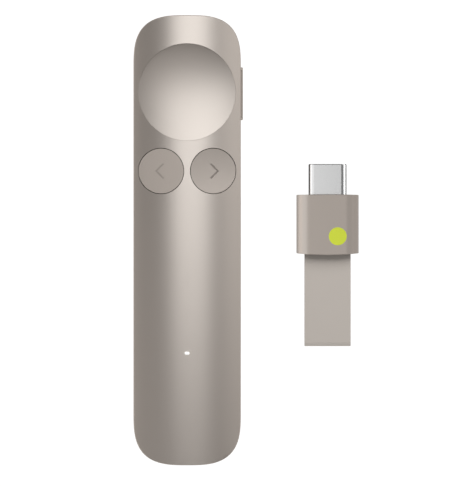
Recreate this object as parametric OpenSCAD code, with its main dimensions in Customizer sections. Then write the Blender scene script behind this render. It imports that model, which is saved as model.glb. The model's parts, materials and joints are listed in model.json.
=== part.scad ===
// Wireless presentation clicker: a crowned two-part housing with a thumb-dish
// pointer button, two round arrow buttons, a side key and a status light,
// and its plug-in radio receiver with a folded pull strap lying beside it.
//
// Millimetres. The clicker lies on its back: +Z is up through the buttons and
// +Y runs towards the dish end. The origin is the middle of the resting face.

/* [Body] */
// Length of the clicker
body_len = 97.6; // [96:0.1:104]
// Width of the clicker
body_w = 23.3; // [22.9:0.1:25]
// Height from the resting face to the top of the crowned front
body_h = 12; // [11.9:0.1:13]
// Radius of the crowned front, across its width
crown_r = 28; // [26:0.5:34]
// Length of each rounded end, from its tip to the straight sides
end_reach = 11.3; // [10:0.1:13]
// Squareness of the rounded ends (2 is an ellipse)
end_power = 3.05; // [2.8:0.05:3.6]
// Rounding between the back and the sides
back_r = 4; // [3.4:0.1:4.2]
// Height of the straight side of the back shell, above its rounding
seam_rise = 0.1; // [0.05:0.05:0.3]
// Wall thickness of both shells
wall = 1.2; // [1.1:0.05:1.35]
// Height of the tongue that locates the front shell on the back shell
lip_h = 1; // [0.9:0.1:1.4]
// Thickness of that tongue
lip_t = 0.5; // [0.4:0.05:0.6]
// Clearance between the tongue and the front shell
lip_gap = 0.05; // [0.03:0.01:0.1]

/* [Pointer button] */
// Radius of the round well that holds the dish
dish_r = 10.55; // [10.2:0.05:10.65]
// Land between the dish and the end of the clicker
dish_land = 6.15; // [6:0.05:6.5]
// Depth of the spherical thumb dish below its rim
dish_depth = 1.1; // [0.8:0.05:1.3]
// Width of the flat rim round the dish
dish_rim = 0.2; // [0.15:0.05:0.4]
// Step from the crowned front down to the rim, at the two sides
dish_step = 0.12; // [0.05:0.01:0.25]
// Radial clearance round the dish
dish_gap = 0.08; // [0.05:0.01:0.12]
// Thickness of the dished plate
dish_plate = 1.2; // [1:0.05:1.4]
// Depth of the guide wall round the dish, below the rim
dish_guide = 1.5; // [1.4:0.05:1.6]
// Travel of the pointer button
pointer_travel = 0.3; // [0.2:0.05:0.35]

/* [Arrow buttons] */
// Radius of each round well
arrow_r = 5; // [4.8:0.05:5.05]
// Land between the two wells
arrow_land = 1.3; // [1.2:0.05:1.4]
// Land between the wells and the dish, along the clicker
arrow_dish_land = 1.55; // [1.4:0.05:2]
// Radial clearance round each arrow button
arrow_gap = 0.2; // [0.15:0.01:0.25]
// Depth of the guide wall, below the lowest point of the face
arrow_guide = 1.9; // [1.7:0.05:2]
// Thickness of the retaining flange
arrow_flange_t = 0.8; // [0.6:0.05:0.9]
// Reach of the retaining flange past the cap
arrow_flange = 0.7; // [0.5:0.05:0.7]
// Travel of each arrow button
arrow_travel = 0.25; // [0.15:0.05:0.35]
// Length of each arm of the engraved chevrons
chevron_len = 2.25; // [1.8:0.05:2.6]
// Width of the chevrons' stroke
chevron_t = 0.36; // [0.25:0.01:0.5]
// Depth of the engraving
chevron_depth = 0.12; // [0.08:0.01:0.2]
// Distance from a button's middle to the elbow of its chevron
chevron_reach = 1.03; // [0.7:0.01:1.3]

/* [Side key] */
// Length of the key
key_len = 11.5; // [10.5:0.1:12]
// Height of the key
key_h = 2; // [1.8:0.05:2.1]
// How far the key stands out of the side
key_proud = 0.45; // [0.35:0.05:0.6]
// Offset of the key's middle from the dish's, towards the arrow buttons
key_offset = 0.3; // [0:0.1:0.6]
// Height of the key's centre line above the main board
key_rise = 1.7; // [1.65:0.05:1.75]
// Clearance round the key
key_gap = 0.12; // [0.08:0.01:0.15]
// Thickness of the key's retaining flange
key_flange_t = 0.7; // [0.5:0.05:0.8]
// Reach of the retaining flange past the key
key_flange = 0.55; // [0.4:0.05:0.55]
// Travel of the side key
key_travel = 0.25; // [0.15:0.05:0.3]

/* [Status light] */
// Width of the oval window
light_w = 1.1; // [0.9:0.05:1.3]
// Height of the oval window
light_h = 0.7; // [0.6:0.05:0.8]
// Distance of the window from the receiver end of the clicker
light_inset = 24.3; // [24:0.1:25]
// Radius of the light pipe's column
pipe_r = 0.95; // [0.85:0.05:1.05]

/* [Circuit board] */
// Thickness of the main board
board_t = 0.8; // [0.7:0.05:0.9]
// Gap between the main board's edge and the shells
board_gap = 0.3; // [0.2:0.05:0.4]
// Side of each square push switch
switch_w = 4.4; // [4:0.1:4.6]
// Height of each push switch
switch_h = 1.2; // [1.1:0.05:1.3]
// Radius of each switch plunger
plunger_r = 1.1; // [1:0.05:1.2]
// How far each plunger stands out of its switch
plunger_proud = 0.5; // [0.4:0.05:0.6]
// Clearance round each plunger
plunger_gap = 0.06; // [0.04:0.01:0.08]
// Radius of the screw bosses
boss_r = 1.5; // [1.4:0.05:1.6]
// Radius of the screws' shanks
screw_r = 0.5; // [0.45:0.05:0.6]
// Radius of the screws' heads
screw_head_r = 1.1; // [1:0.05:1.2]
// Height of the screws' heads
screw_head_h = 0.6; // [0.5:0.05:0.7]
// Length of the screws' shanks
screw_len = 4; // [3.6:0.1:4.4]

/* [Battery and motor] */
// Room between the status light's middle and the pouch cell
cell_room = 4.1; // [3.8:0.1:5]
// Room between the battery's socket and the wells of the arrow buttons
socket_room = 0.7; // [0.4:0.1:1]
// Width of the pouch cell
cell_w = 15; // [13:0.5:15.5]
// Thickness of the pouch cell
cell_t = 3.8; // [3.4:0.1:4]
// Thickness of the adhesive tape under the cell
tape_t = 0.2; // [0.15:0.05:0.3]
// Radius of the coin vibration motor
motor_r = 4; // [3.6:0.1:4.2]
// Thickness of the foam pad between the motor and the main board
motor_pad_t = 0.35; // [0.25:0.05:0.45]

/* [Receiver] */
// Distance from the clicker's middle line to the receiver's
receiver_x = 30.5; // [26:0.5:40]
// Place of the collar's middle along Y
receiver_y = 3.35; // [-10:0.05:15]
// Width of the collar
collar_w = 13.55; // [13.2:0.05:13.8]
// Thickness of the collar
collar_h = 6; // [5.8:0.05:6.1]
// Length of the collar, between the tops of its crowned ends
collar_len = 13.2; // [12.6:0.1:13.8]
// Height of the crown on each end of the collar
collar_crown = 0.4; // [0.2:0.05:0.6]
// Wall of the collar
collar_wall = 0.9; // [0.8:0.05:0.95]
// Width of the plug
plug_w = 8.25; // [8.2:0.01:8.28]
// Thickness of the plug
plug_h = 2.4; // [2.36:0.01:2.44]
// Length of the plug outside the collar
plug_len = 6.6; // [6.4:0.05:6.7]
// Sheet thickness of the plug's shell
plug_sheet = 0.3; // [0.25:0.01:0.33]
// Width of the pull strap
strap_w = 10.05; // [9:0.05:10.3]
// Length of the strap outside the collar
strap_len = 19.8; // [16:0.1:24]
// Thickness of the strap's ribbon
strap_t = 0.8; // [0.7:0.05:0.85]
// Gap inside the strap's fold
strap_fold = 0.4; // [0.3:0.05:0.45]

/* [Charging port and receiver bay] */
// Clearance between the plug and the port
plug_gap = 0.06; // [0.04:0.01:0.08]
// Sheet thickness of the port's shell
port_sheet = 0.3; // [0.25:0.01:0.35]
// Length of the port
port_len = 7.35; // [7:0.05:7.6]
// Wall of the bay's liner
bay_wall = 0.7; // [0.6:0.05:0.8]
// Clearance between the bay and the receiver's collar
bay_gap = 0.2; // [0.15:0.01:0.25]
// How far the liner sits back from the end of the clicker
bay_recess = 0.6; // [0.55:0.05:0.8]

/* [Hidden] */
$fn = 64;

taupe = [0.66, 0.62, 0.58];
taupe_dark = [0.60, 0.57, 0.53];
strap_grey = [0.70, 0.66, 0.63];
board_green = [0.10, 0.28, 0.20];
part_black = [0.08, 0.08, 0.08];
steel = [0.78, 0.78, 0.79];
gold = [0.85, 0.68, 0.35];

corner_steps = 14; // points along each quarter of a rounded end
round_steps = 6;   // slices in the rounding of the back
thin = 0.01;       // height of a slice that only hull() sees
over = 1;          // how far a cut runs past what it cuts
touch = 0.05;      // gap left at a stop, and round a piece in its seat
slop = 0.3;        // room under a pressed button

half_w = body_w / 2;
half_len = body_len / 2;
side_half = half_len - end_reach; // half the length of the straight sides
seam_z = back_r + seam_rise;
inner_w = half_w - wall;          // inner face of the side walls
lip_inset = wall + lip_gap;       // outer face of the tongue
lip_in = lip_inset + lip_t;       // inner face of the tongue

// The charging port sits on the main board, on the bay's centre line
bay_z = body_h / 2;
port_w = plug_w + 2 * plug_gap;
port_h = plug_h + 2 * plug_gap;
port_out_w = port_w + 2 * port_sheet;
port_out_h = port_h + 2 * port_sheet;
board_top = bay_z - port_out_h / 2;
board_z = board_top - board_t;
switch_top = board_top + switch_h;
plunger_top = switch_top + plunger_proud;
plunger_in = 0.5; // length of plunger inside its switch at rest

// Height of the crowned front at x, or of the surface a given depth inside it
function crown_z(x, depth = 0) = body_h - crown_r + sqrt(pow(crown_r - depth, 2) - x * x);

// Radius of the circle whose arc rises by rise over a half-width of half
function arc_r(half, rise) = (half * half + rise * rise) / (2 * rise);

dish_y = half_len - dish_land - dish_r;
dish_rim_z = crown_z(dish_r) - dish_step;
dish_cap_r = dish_r - dish_gap;
dish_sphere_r = arc_r(dish_cap_r - dish_rim, dish_depth);
dish_sphere_z = dish_rim_z - dish_depth + dish_sphere_r;
dish_under_z = dish_rim_z - dish_depth - dish_plate;
dish_well_z = dish_rim_z - dish_guide;
dish_well_t = 0.9;
dish_skirt = 1.1;
lug_t = 0.7;
lug_w = 3;
lug_root = 0.8; // length of each lug under the skirt
lug_reach = 0.6;
lug_angles = [60, 120, 240, 300];
rib_t = 0.8; // ribs between the plate and the skirt, one to each lug

arrow_x = arrow_r + arrow_land / 2;
arrow_y = dish_y - dish_r - arrow_dish_land - arrow_r;
arrow_cap_r = arrow_r - arrow_gap;
arrow_in_z = crown_z(arrow_x - arrow_r);
arrow_out_z = crown_z(arrow_x + arrow_r);
arrow_face_z = (arrow_in_z + arrow_out_z) / 2;
arrow_tilt = atan((arrow_in_z - arrow_out_z) / (2 * arrow_r));
arrow_well_z = arrow_out_z - arrow_guide;
arrow_well_t = 0.8;
arrow_plate = 1;
arrow_rim = 1.2; // wall of the cap round its hollow underside
post_wall = 0.3; // wall of a button's post past the plunger under it

key_y = dish_y - key_offset;
key_z = board_top + key_rise;
key_out_x = inner_w - touch;          // outer face of the key's flange
key_in_x = key_out_x - key_flange_t;  // inner face of the key's flange
side_switch_x = key_in_x - plunger_proud;
side_switch_d = 3.2;
side_switch_h = key_rise + 0.9;
side_plunger_r = 0.7;

bay_w = collar_w + 2 * bay_gap;
bay_h = collar_h + 2 * bay_gap;
bay_mouth_y = -half_len + bay_recess;
bay_floor_y = bay_mouth_y + collar_len;
board_end_y = bay_floor_y + bay_wall + touch;
tongue_w = 6.69;
tongue_t = 0.6;
tongue_back = 1.4; // length of the solid back of the port
contact_pitch = 0.5;
contact_w = 0.25;
contact_len = 4;
contact_t = 0.05;

light_y = -half_len + light_inset;
led_h = 0.9;
pipe_well = 0.9;   // wall of the light pipe's guide
pipe_guide = 2.4;  // length of the light pipe's guide
light_gap = 0.02;  // clearance round the window

boss_x = half_w - lip_in - boss_r - 0.2;
boss_gap = 0.3;
bosses = concat(
    [for (s = [-1, 1]) [s * 5.2, half_len - 4.5]],
    [for (s = [-1, 1]) [s * boss_x, arrow_y - arrow_r - arrow_well_t - boss_r - boss_gap]],
    [for (s = [-1, 1]) [s * boss_x, light_y + 0.5]]
);
tip_room = 0.4; // room past the tip of a screw

// The battery's socket ends short of the arrow wells, and its leads, the
// protection board and the cell follow it, down to the status light
socket_w = 5;
socket_len = 3;
socket_h = 1.9;
socket_y0 = arrow_y - arrow_r - socket_room - socket_len;
lead_r = 0.35;
lead_len = 0.7;
lead_pitch = 1.6;
protection_len = 2;
protection_h = 1.6;
cell_y0 = light_y + cell_room;
cell_y1 = socket_y0 - lead_len - protection_len;
cell_y = (cell_y0 + cell_y1) / 2;
cell_z = board_top + tape_t;
cell_edge_r = 0.8;
tape_inset = 1;
motor_h = board_z - wall - motor_pad_t;
motor_pad_inset = 0.5;

// Parts on the main board: width, length and height
shield_size = [9, 6, 1.4];
shield_sheet = 0.2;
antenna_size = [6, 1.8, 1];
controller_size = [5, 5, 0.85];
sensor_size = [3, 2.5, 0.85];
crystal_size = [2, 1.6, 0.6];
charger_size = [2.5, 2.5, 0.8];
capacitor_size = [1, 0.6, 0.5];
chip_x = 4.6; // middle line to the controller, and to the motion sensor
chip_y = dish_y - switch_w / 2 - controller_size[1];
capacitor_pitch = 1.6;
capacitor_x = half_w - lip_in - board_gap - 2 * capacitor_size[0];

collar_y1 = collar_len / 2;
core_w = collar_w - 2 * collar_wall;
core_h = collar_h - 2 * collar_wall;
collar_front = 1;  // thickness of the collar's plug end, at its corners
core_back = 0.3;   // depth of the core below the collar's strap end
core_y0 = -collar_y1 + collar_crown + core_back;
core_y1 = collar_y1 - collar_crown - collar_front;
fit_gap = 0.02;    // clearance of each seated receiver piece
plug_tail = 2;     // length of plug seated in the core
plug_y0 = core_y1 - plug_tail;
plug_y1 = collar_y1 + plug_len;
strap_grip = 3.4;  // length of strap held in the core
strap_stack = 2 * strap_t + strap_fold;
strap_fold_y = -collar_y1 - strap_len + strap_stack / 2;
pin_r = 0.5;
pin_y = core_y0 + strap_grip / 2;
dongle_y0 = core_y0 + strap_grip + 0.7;
dongle_w = 9.2;
dongle_t = 0.8;
dongle_z = -0.45;
dongle_chip_h = 0.6;

// ---------- shared shapes ----------

// A point of one rounded end, as a superellipse
function end_point(a, b, t) = [a * pow(cos(t), 2 / end_power), b * pow(sin(t), 2 / end_power)];

function outline_points(inset) =
    let (
        quarter = [for (i = [0:corner_steps])
            end_point(half_w - inset, end_reach - inset, 90 * i / corner_steps) + [0, side_half]]
    )
    concat(
        quarter,
        [for (i = [corner_steps - 1:-1:0]) [-quarter[i][0], quarter[i][1]]],
        [for (i = [0:corner_steps]) -quarter[i]],
        [for (i = [corner_steps - 1:-1:0]) [quarter[i][0], -quarter[i][1]]]
    );

module outline(inset = 0) polygon(outline_points(inset));

// The space under the crowned front, a given depth inside it
module under_crown(depth = 0)
    translate([0, 0, body_h - crown_r])
        rotate([90, 0, 0])
            cylinder(r = crown_r - depth, h = body_len + 2 * over, center = true);

// The straight-sided body under the crowned front, a given depth inside it
module front_form(depth, from_z)
    intersection() {
        translate([0, 0, from_z]) linear_extrude(body_h) outline(depth);
        under_crown(depth);
    }

// The rounded back, a given depth inside it, up to a height
module back_form(depth, to_z) {
    r = back_r - depth;
    hull() {
        for (i = [0:round_steps])
            let (a = 90 * i / round_steps)
                translate([0, 0, back_r - r * cos(a)])
                    linear_extrude(thin) outline(depth + r * (1 - sin(a)));
        translate([0, 0, to_z - thin]) linear_extrude(thin) outline(depth);
    }
}

module stadium(w, h) {
    square([w - h, h], center = true);
    for (s = [-1, 1]) translate([s * (w - h) / 2, 0]) circle(d = h);
}

// A profile in X and Z, drawn out along Y from y0 to y1
module along_y(y0, y1)
    translate([0, y1, 0]) rotate([90, 0, 0]) linear_extrude(y1 - y0) children();

// A profile in Y and Z, drawn out along X from x0 to x1
module along_x(x0, x1)
    translate([x0, 0, 0]) rotate([90, 0, 90]) linear_extrude(x1 - x0) children();

// A box centred in X and Y that stands on z = 0
module block(x, y, z) translate([-x / 2, -y / 2, 0]) cube([x, y, z]);

// A box centred in X and Z that runs along Y from y0 to y1
module bar(w, y0, y1, h) along_y(y0, y1) square([w, h], center = true);

module on_board(x, y) translate([x, y, board_top]) children();

module at_dish() translate([0, dish_y, 0]) children();

module at_arrow(side) translate([side * arrow_x, arrow_y, 0]) children();

module at_key() translate([0, key_y, key_z]) children();

module at_receiver() translate([receiver_x, receiver_y, collar_h / 2]) children();

// A row of contacts, above and below a tongue
module contact_rows(y0, z)
    for (i = [0:11], s = [-1, 1])
        translate([(i - 5.5) * contact_pitch - contact_w / 2, y0, s * z - contact_t / 2])
            cube([contact_w, contact_len, contact_t]);

// ---------- housing ----------

// The receiver bay's outside, grown by a clearance
module bay_outside(gap)
    translate([0, 0, bay_z])
        along_y(-half_len - over, bay_floor_y + bay_wall + gap)
            stadium(bay_w + 2 * (bay_wall + gap), bay_h + 2 * (bay_wall + gap));

// Ribs on the tongue that snap into pockets of the front shell
snap_ys = side_half * [-0.85, -0.32, 0.11, 0.64];
snap_len = 4;
snap_h = 0.4;
snap_reach = 0.3;
module snaps(gap)
    for (y = snap_ys, s = [-1, 1])
        if (s < 0 || abs(y - key_y) > key_len / 2 + snap_len)
            translate([s * inner_w, y, seam_z + lip_h - snap_h / 2 - 0.2])
                cube([2 * (snap_reach + gap), snap_len + 2 * gap, snap_h + 2 * gap], center = true);

module front_shell() color(taupe)
    difference() {
        union() {
            difference() {
                front_form(0, seam_z);
                front_form(wall, seam_z - over);
            }
            // guide walls, bosses and the light pipe's guide hang from the crown
            intersection() {
                front_form(wall / 2, seam_z);
                union() {
                    at_dish() translate([0, 0, dish_well_z]) cylinder(r = dish_r + dish_well_t, h = body_h);
                    for (s = [-1, 1])
                        at_arrow(s) translate([0, 0, arrow_well_z]) cylinder(r = arrow_r + arrow_well_t, h = body_h);
                    for (b = bosses)
                        translate([b[0], b[1], board_top]) cylinder(r = boss_r, h = body_h);
                    translate([0, light_y, crown_z(0) - wall - pipe_guide])
                        cylinder(r = pipe_r + pipe_well, h = body_h);
                }
            }
        }
        at_dish() translate([0, 0, dish_well_z - lug_t - pointer_travel - slop])
            cylinder(r = dish_r, h = body_h);
        for (s = [-1, 1])
            at_arrow(s) translate([0, 0, arrow_well_z - arrow_flange_t - arrow_travel - slop])
                cylinder(r = arrow_r, h = body_h);
        for (b = bosses)
            translate([b[0], b[1], board_top - over]) cylinder(r = screw_r + touch, h = screw_len + over);
        translate([0, light_y, 0]) {
            linear_extrude(body_h + over) stadium(light_w, light_h);
            cylinder(r = pipe_r + touch, h = crown_z(0) - wall / 2);
        }
        at_key() along_x(inner_w - over, half_w + over) stadium(key_len + 2 * key_gap, key_h + 2 * key_gap);
        bay_outside(touch);
        snaps(touch);
    }

pad_x = 6.85;
pad_len = 6;
pad_t = 1;
pad_ys = [dish_y, arrow_y, light_y + pad_len + pad_t];

module back_shell() color(taupe_dark)
    difference() {
        union() {
            difference() {
                back_form(0, seam_z);
                back_form(wall, seam_z + over);
            }
            // the tongue, with its snaps and a gap for the side key
            difference() {
                union() {
                    translate([0, 0, seam_z - 2]) linear_extrude(lip_h + 2) difference() {
                        outline(lip_inset);
                        outline(lip_in);
                    }
                    snaps(0);
                }
                translate([half_w - lip_in, key_y, seam_z]) block(3 * wall, key_len + 2 * key_flange + 1, lip_h + over);
            }
            // pads under the main board and under the bay
            for (y = pad_ys, s = [-1, 1])
                translate([s * pad_x, y, wall / 2]) block(pad_t, pad_len, board_z - wall / 2);
            for (i = [1, 2])
                translate([0, bay_mouth_y + i * collar_len / 3, wall / 2]) block(bay_w - bay_h, pad_t, bay_z - bay_h / 2 - wall);
        }
        bay_outside(touch);
    }

module receiver_bay() color(taupe_dark)
    difference() {
        intersection() {
            bay_outside(0);
            linear_extrude(body_h) outline(bay_recess);
        }
        translate([0, 0, bay_z]) {
            along_y(-half_len - over, bay_floor_y) stadium(bay_w, bay_h);
            along_y(bay_floor_y - over, bay_floor_y + bay_wall + over)
                stadium(port_out_w + 2 * touch, port_out_h + 2 * touch);
        }
    }

// ---------- buttons ----------

// The dished plate with its skirt, ribs, post and four retaining lugs
module pointer_cap() color(taupe)
    at_dish() difference() {
        union() {
            intersection() {
                translate([0, 0, dish_under_z - over]) cylinder(r = dish_cap_r, h = dish_rim_z - dish_under_z + over);
                translate([0, 0, dish_sphere_z]) sphere(r = dish_sphere_r + dish_plate);
            }
            difference() {
                translate([0, 0, dish_well_z]) cylinder(r = dish_cap_r, h = dish_guide);
                translate([0, 0, dish_well_z - over]) cylinder(r = dish_cap_r - dish_skirt, h = body_h);
            }
            for (a = lug_angles) rotate([0, 0, a])
                translate([plunger_r, -rib_t / 2, dish_under_z + rib_t / 2])
                    cube([dish_cap_r - dish_skirt / 2 - plunger_r, rib_t, dish_plate]);
            translate([0, 0, plunger_top])
                cylinder(r = plunger_r + post_wall, h = dish_under_z + dish_plate / 2 - plunger_top);
            for (a = lug_angles) rotate([0, 0, a])
                intersection() {
                    translate([dish_cap_r - lug_root, -lug_w / 2, dish_well_z - touch - lug_t])
                        cube([lug_root + lug_reach, lug_w, dish_guide]);
                    union() {
                        cylinder(r = dish_cap_r - 2 * touch, h = dish_well_z + touch);
                        cylinder(r = dish_cap_r + lug_reach, h = dish_well_z - touch);
                    }
                }
        }
        translate([0, 0, dish_sphere_z]) sphere(r = dish_sphere_r);
    }

// A round cap with a flat face that follows the slope of the crown
module arrow_cap(side) {
    at_arrow(side) translate([0, 0, plunger_top])
        cylinder(r = plunger_r + post_wall, h = arrow_out_z - arrow_plate / 2 - plunger_top);
    difference() {
        union() {
            at_arrow(side) translate([0, 0, arrow_well_z - touch]) cylinder(r = arrow_cap_r, h = body_h);
            intersection() {
                at_arrow(side) translate([0, 0, arrow_well_z - touch - arrow_flange_t])
                    cylinder(r = arrow_cap_r + arrow_flange, h = arrow_flange_t);
                linear_extrude(body_h) outline(wall + 4 * touch);
            }
        }
        at_arrow(side) translate([0, 0, arrow_face_z]) rotate([0, side * arrow_tilt, 0]) {
            block(4 * arrow_r, 4 * arrow_r, 2 * body_h);
            // the chevron, whose arms run back from its elbow
            for (s = [-1, 1])
                translate([side * chevron_reach, 0, -chevron_depth]) rotate([0, 0, 90 + side * 90 + s * 45])
                    translate([-chevron_t / 2, -chevron_t / 2, 0])
                        cube([chevron_len + chevron_t / 2, chevron_t, chevron_depth + over]);
        }
        at_arrow(side) cylinder(r = arrow_cap_r - arrow_rim, h = arrow_out_z - arrow_plate);
    }
}

module previous_cap() color(taupe) arrow_cap(-1);
module next_cap() color(taupe) arrow_cap(1);

module side_key() color(taupe_dark)
    at_key() {
        along_x(key_out_x, half_w + key_proud) stadium(key_len, key_h);
        along_x(key_in_x, key_out_x) stadium(key_len + 2 * key_flange, key_h + 2 * key_flange);
    }

// ---------- switches ----------

module push_switch(x, y, travel) color(part_black)
    on_board(x, y) difference() {
        block(switch_w, switch_w, switch_h);
        translate([0, 0, switch_h - plunger_in - travel - touch])
            cylinder(r = plunger_r + plunger_gap, h = switch_h);
    }

module plunger(x, y) color(steel)
    translate([x, y, switch_top - plunger_in]) cylinder(r = plunger_r, h = plunger_in + plunger_proud);

module pointer_switch() push_switch(0, dish_y, pointer_travel);
module previous_switch() push_switch(-arrow_x, arrow_y, arrow_travel);
module next_switch() push_switch(arrow_x, arrow_y, arrow_travel);
module pointer_plunger() plunger(0, dish_y);
module previous_plunger() plunger(-arrow_x, arrow_y);
module next_plunger() plunger(arrow_x, arrow_y);

module side_switch() color(part_black)
    difference() {
        on_board(side_switch_x - side_switch_d / 2, key_y) block(side_switch_d, switch_w, side_switch_h);
        at_key() along_x(side_switch_x - plunger_in - key_travel - touch, side_switch_x + over)
            circle(r = side_plunger_r + plunger_gap);
    }

module side_plunger() color(steel)
    at_key() along_x(side_switch_x - plunger_in, key_in_x) circle(r = side_plunger_r);

// ---------- inside the clicker ----------

module main_board() color(board_green)
    difference() {
        translate([0, 0, board_z]) linear_extrude(board_t) intersection() {
            outline(lip_in + board_gap);
            translate([-half_w, board_end_y]) square([body_w, body_len]);
        }
        for (b = bosses) translate([b[0], b[1], 0]) cylinder(r = screw_r + 4 * touch, h = body_h);
    }

module board_screws() color(steel)
    for (b = bosses) translate([b[0], b[1], board_z]) {
        difference() {
            translate([0, 0, -screw_head_h]) cylinder(r = screw_head_r, h = screw_head_h);
            for (a = [0, 90]) rotate([0, 0, a])
                translate([0, 0, -screw_head_h - over]) block(1.4, 0.3, over + screw_head_h / 2);
        }
        cylinder(r = screw_r, h = board_t + screw_len - tip_room);
    }

module light_pipe() color("white")
    translate([0, light_y, 0]) {
        intersection() {
            translate([0, 0, crown_z(0) - wall]) linear_extrude(wall)
                stadium(light_w - 2 * light_gap, light_h - 2 * light_gap);
            under_crown(light_gap);
        }
        translate([0, 0, board_top + led_h + touch])
            cylinder(r = pipe_r, h = crown_z(0) - wall / 2 - board_top - led_h - 2 * touch);
    }

module status_led() color("white") on_board(0, light_y) block(1.6, 0.8, led_h);

// The pouch, with both long edges rounded
module battery() color([0.75, 0.76, 0.78])
    translate([0, 0, cell_z + cell_t / 2])
        along_y(cell_y0, cell_y1) {
            square([cell_w - 2 * cell_edge_r, cell_t], center = true);
            square([cell_w, cell_t - 2 * cell_edge_r], center = true);
            for (s = [-1, 1], t = [-1, 1])
                translate([s * (cell_w / 2 - cell_edge_r), t * (cell_t / 2 - cell_edge_r)]) circle(r = cell_edge_r);
        }

module battery_tape() color([0.85, 0.80, 0.62])
    on_board(0, cell_y) block(cell_w - 2 * cell_edge_r, cell_y1 - cell_y0 - 2 * tape_inset, tape_t);

module protection_board() color(board_green)
    on_board(0, cell_y1 + protection_len / 2) block(cell_w - 3, protection_len, protection_h);

module battery_leads() color("red")
    for (s = [-1, 1])
        translate([s * lead_pitch / 2, cell_y1 + protection_len, board_top + protection_h - lead_r])
            rotate([-90, 0, 0]) cylinder(r = lead_r, h = lead_len);

module battery_socket() color("ivory")
    on_board(0, socket_y0 + socket_len / 2) block(socket_w, socket_len, socket_h);

module haptic_motor() color(steel) translate([0, cell_y, wall]) cylinder(r = motor_r, h = motor_h);

module motor_pad() color(part_black)
    translate([0, cell_y, wall + motor_h]) cylinder(r = motor_r - motor_pad_inset, h = motor_pad_t);

module port_shell() color(steel)
    translate([0, 0, bay_z]) along_y(bay_floor_y, bay_floor_y + port_len) difference() {
        stadium(port_out_w, port_out_h);
        stadium(port_w, port_h);
    }

port_end_y = bay_floor_y + port_len;
module port_tongue() color(part_black)
    translate([0, 0, bay_z]) {
        along_y(port_end_y - tongue_back, port_end_y) stadium(port_w, port_h);
        bar(tongue_w, bay_floor_y + 1, port_end_y - tongue_back, tongue_t);
    }

module port_contacts() color(gold)
    translate([0, 0, bay_z])
        contact_rows(port_end_y - tongue_back - contact_len, (tongue_t + contact_t) / 2);

module package(size) block(size[0], size[1], size[2]);

module radio_shield() color(steel)
    on_board(0, dish_y + switch_w / 2 + shield_size[1] / 2 + lug_w / 2) difference() {
        package(shield_size);
        translate([0, 0, -over])
            package(shield_size - shield_sheet * [2, 2, 1] + [0, 0, over]);
    }

module radio_antenna() color([0.9, 0.9, 0.86])
    on_board(0, half_len - lip_in - board_gap - antenna_size[1]) package(antenna_size);

module controller_chip() color(part_black) on_board(-chip_x, chip_y) package(controller_size);

module motion_sensor() color(part_black) on_board(chip_x, chip_y) package(sensor_size);

module crystal() color(steel) on_board(0, chip_y) package(crystal_size);

module charge_chip() color(part_black)
    on_board(-pipe_r - pipe_well - charger_size[0] / 2, light_y) package(charger_size);

module capacitors() color([0.72, 0.62, 0.48]) {
    for (i = [0:3]) on_board(-capacitor_x, dish_y + (i - 1.5) * capacitor_pitch) package(capacitor_size);
    for (i = [0:2]) on_board(pipe_r + pipe_well + i * capacitor_pitch, light_y) package(capacitor_size);
    for (i = [0:4])
        on_board((i - 2) * capacitor_pitch, dish_y - dish_r - capacitor_size[0]) package(capacitor_size);
}

// ---------- receiver ----------

// Both ends of the collar are crowned by one large radius
module receiver_collar() color(taupe)
    at_receiver() difference() {
        intersection() {
            along_y(-collar_y1, collar_y1) stadium(collar_w, collar_h);
            for (s = [-1, 1])
                translate([0, s * (collar_y1 - arc_r(collar_w / 2, collar_crown)), 0])
                    cylinder(r = arc_r(collar_w / 2, collar_crown), h = 2 * collar_h, center = true);
        }
        along_y(-collar_y1 - over, core_y1) stadium(core_w, core_h);
        along_y(core_y1 - over, collar_y1 + over) stadium(plug_w + 2 * fit_gap, plug_h + 2 * fit_gap);
    }

module receiver_core() color(part_black)
    at_receiver() difference() {
        along_y(core_y0, core_y1) stadium(core_w - 2 * fit_gap, core_h - 2 * fit_gap);
        along_y(plug_y0, core_y1 + over) stadium(plug_w + 2 * fit_gap, plug_h + 2 * fit_gap);
        translate([0, (dongle_y0 + plug_y0) / 2, dongle_z])
            block(dongle_w + 2 * fit_gap, plug_y0 - dongle_y0 + 2 * fit_gap, dongle_t + dongle_chip_h + 2 * fit_gap);
        for (s = [-1, 1])
            translate([0, 0, s * (strap_fold + strap_t) / 2])
                bar(strap_w + 2 * touch, core_y0 - over, core_y0 + strap_grip, strap_t);
        translate([0, pin_y, 0]) cylinder(r = pin_r, h = collar_h, center = true);
    }

module receiver_board() color(board_green)
    at_receiver() translate([0, (dongle_y0 + plug_y0) / 2, dongle_z]) block(dongle_w, plug_y0 - dongle_y0, dongle_t);

module receiver_chip() color(part_black)
    at_receiver() translate([0, (dongle_y0 + plug_y0) / 2, dongle_z + dongle_t]) block(2.6, 1.2, dongle_chip_h);

module plug_shell() color(steel)
    at_receiver() along_y(plug_y0, plug_y1) difference() {
        stadium(plug_w, plug_h);
        stadium(plug_w - 2 * plug_sheet, plug_h - 2 * plug_sheet);
    }

module plug_insulator() color(part_black)
    at_receiver() difference() {
        along_y(plug_y0, plug_y1 - 0.3) stadium(plug_w - 2 * plug_sheet, plug_h - 2 * plug_sheet);
        bar(tongue_w + 0.2, plug_y1 - contact_len - 1.5, plug_y1, tongue_t + 4 * contact_t + 0.2);
    }

module plug_contacts() color(gold)
    at_receiver() contact_rows(plug_y1 - contact_len - 1, (tongue_t + 3 * contact_t + 0.2) / 2);

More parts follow.
